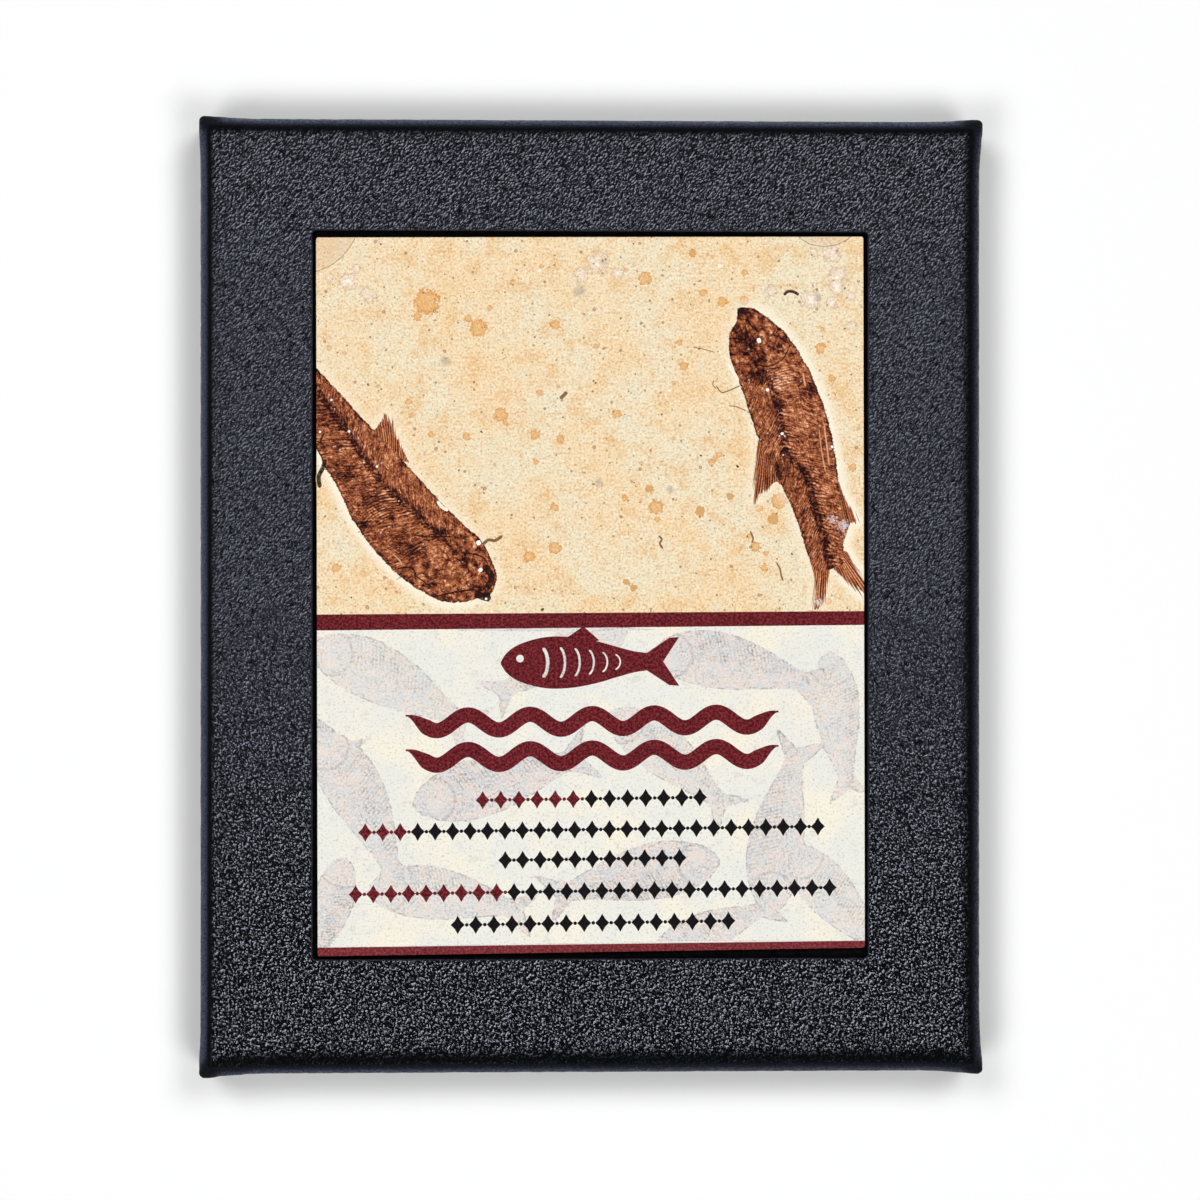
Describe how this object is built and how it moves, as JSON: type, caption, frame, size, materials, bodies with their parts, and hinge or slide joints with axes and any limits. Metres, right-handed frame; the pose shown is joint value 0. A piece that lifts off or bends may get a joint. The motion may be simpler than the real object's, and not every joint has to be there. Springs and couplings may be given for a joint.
{
  "type": "leatherette display case",
  "caption": "Flat leatherette-covered display case with a printed fossil fish card framed in its front window.",
  "frame": {"origin": "middle of the back, on the surface that the case lies on", "axes": "+X across the case, +Y towards the top of the card, +Z out of the front"},
  "size_m": [0.1278, 0.156, 0.018],
  "materials": {
    "black_leatherette": "black fine-pebbled leatherette with a blue cast, satin",
    "printed_card": "satin print on stiff card: cream stone, brown fish, maroon bars and a pale label field",
    "backing_board": "black paper-faced board, matt"
  },
  "bodies": {
    "root": {"leatherette_surround": "black_leatherette", "printed_card": "printed_card", "backing_board": "backing_board"}
  },
  "joints": []
}
